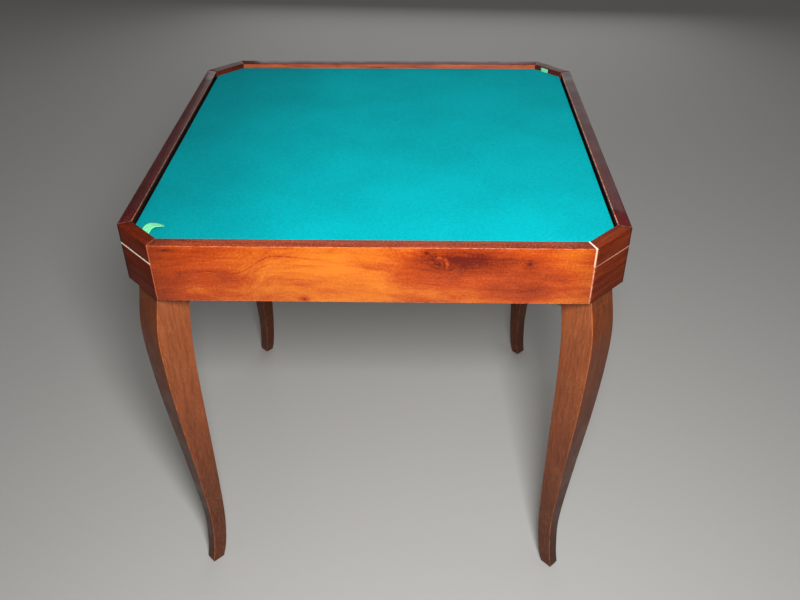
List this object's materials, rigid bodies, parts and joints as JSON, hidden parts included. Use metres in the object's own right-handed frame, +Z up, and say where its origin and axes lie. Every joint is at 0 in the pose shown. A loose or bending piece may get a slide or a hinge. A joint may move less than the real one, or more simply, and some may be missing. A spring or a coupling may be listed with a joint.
{
  "type": "folding table",
  "caption": "Square games table with canted corners, a recessed baize board that lifts out, and curved legs that fold in under the frame",
  "frame": {"origin": "on the floor under the table's centre, the middle of the lowest plane of the feet", "axes": "+Z up, +X to the table's right, +Y to its back; the rails run along X and Y and the legs stand on the diagonals"},
  "size_m": [0.76, 0.76, 0.757],
  "materials": {
    "figured_wood": "glossy orange-red lacquered veneer with wavy figure",
    "dark_wood": "glossy dark mahogany lacquer",
    "pale_inlay": "pale cream inlay line",
    "plain_wood": "unfinished wood",
    "plywood": "unfinished plywood",
    "baize": "teal-green felt",
    "ribbon": "pale mint-green woven ribbon",
    "pressed_steel": "dull zinc-plated sheet steel",
    "plated_steel": "bright zinc-plated steel",
    "leg_wood": "satin red-brown stained wood with fine grain along the leg"
  },
  "bodies": {
    "frame": {"rail_front": "figured_wood", "rail_right": "figured_wood", "rail_back": "figured_wood", "rail_left": "figured_wood", "corner_cap_front_left": "dark_wood", "corner_cap_front_right": "dark_wood", "corner_cap_back_right": "dark_wood", "corner_cap_back_left": "dark_wood", "corner_panel_front_left": "dark_wood", "corner_panel_front_right": "dark_wood", "corner_panel_back_right": "dark_wood", "corner_panel_back_left": "dark_wood", "corner_lines": "pale_inlay", "mitre_line_front_right": "pale_inlay", "corner_block_front_left": "plain_wood", "corner_block_front_right": "plain_wood", "corner_block_back_right": "plain_wood", "corner_block_back_left": "plain_wood", "block_screws": "plated_steel", "floor_panel": "plywood", "cleat_front": "plain_wood", "cleat_right": "plain_wood", "cleat_back": "plain_wood", "cleat_left": "plain_wood", "cleat_screws": "plated_steel", "packing_front_right": "plain_wood", "packing_back_left": "plain_wood", "bracket_screws": "plated_steel", "hinge_bracket_front_left": "pressed_steel", "hinge_bracket_front_right": "pressed_steel", "hinge_bracket_back_right": "pressed_steel", "hinge_bracket_back_left": "pressed_steel", "hinge_bolt_front_left": "plated_steel", "hinge_bolt_front_right": "plated_steel", "hinge_bolt_back_right": "plated_steel", "hinge_bolt_back_left": "plated_steel"},
    "board": {"board_core": "plywood", "baize": "baize", "ribbon_front_left": "ribbon", "ribbon_back_right": "ribbon", "ribbon_tacks": "plated_steel"},
    "leg_front_left": {"leg_front_left": "leg_wood", "leg_plate_front_left": "pressed_steel", "leg_screws_front_left": "plated_steel"},
    "wing_nut_front_left": {"wing_nut_front_left": "plated_steel"},
    "leg_front_right": {"leg_front_right": "leg_wood", "leg_plate_front_right": "pressed_steel", "leg_screws_front_right": "plated_steel"},
    "wing_nut_front_right": {"wing_nut_front_right": "plated_steel"},
    "leg_back_right": {"leg_back_right": "leg_wood", "leg_plate_back_right": "pressed_steel", "leg_screws_back_right": "plated_steel"},
    "wing_nut_back_right": {"wing_nut_back_right": "plated_steel"},
    "leg_back_left": {"leg_back_left": "leg_wood", "leg_plate_back_left": "pressed_steel", "leg_screws_back_left": "plated_steel"},
    "wing_nut_back_left": {"wing_nut_back_left": "plated_steel"}
  },
  "joints": [
    {"name": "board_lift", "type": "slide", "parent": "frame", "child": "board", "axis": [0, 0, 1], "range_m": [0, 0.15]},
    {"name": "leg_fold_front_left", "type": "hinge", "parent": "frame", "child": "leg_front_left", "pos_m": [-0.2998, -0.2998, 0.647], "axis": [0.7547, -0.6561, 0], "range_deg": [0, 94]},
    {"name": "leg_fold_front_right", "type": "hinge", "parent": "frame", "child": "leg_front_right", "pos_m": [0.2998, -0.2998, 0.623], "axis": [0.6561, 0.7547, 0], "range_deg": [0, 90]},
    {"name": "leg_fold_back_right", "type": "hinge", "parent": "frame", "child": "leg_back_right", "pos_m": [0.2998, 0.2998, 0.647], "axis": [-0.7547, 0.6561, 0], "range_deg": [0, 94]},
    {"name": "leg_fold_back_left", "type": "hinge", "parent": "frame", "child": "leg_back_left", "pos_m": [-0.2998, 0.2998, 0.623], "axis": [-0.6561, -0.7547, 0], "range_deg": [0, 90]},
    {"name": "wing_nut_turn_front_left", "type": "hinge", "parent": "frame", "child": "wing_nut_front_left", "pos_m": [-0.2998, -0.2998, 0.647], "axis": [0.7547, -0.6561, 0], "continuous": true},
    {"name": "wing_nut_turn_front_right", "type": "hinge", "parent": "frame", "child": "wing_nut_front_right", "pos_m": [0.2998, -0.2998, 0.623], "axis": [0.6561, 0.7547, 0], "continuous": true},
    {"name": "wing_nut_turn_back_right", "type": "hinge", "parent": "frame", "child": "wing_nut_back_right", "pos_m": [0.2998, 0.2998, 0.647], "axis": [-0.7547, 0.6561, 0], "continuous": true},
    {"name": "wing_nut_turn_back_left", "type": "hinge", "parent": "frame", "child": "wing_nut_back_left", "pos_m": [-0.2998, 0.2998, 0.623], "axis": [-0.6561, -0.7547, 0], "continuous": true}
  ]
}
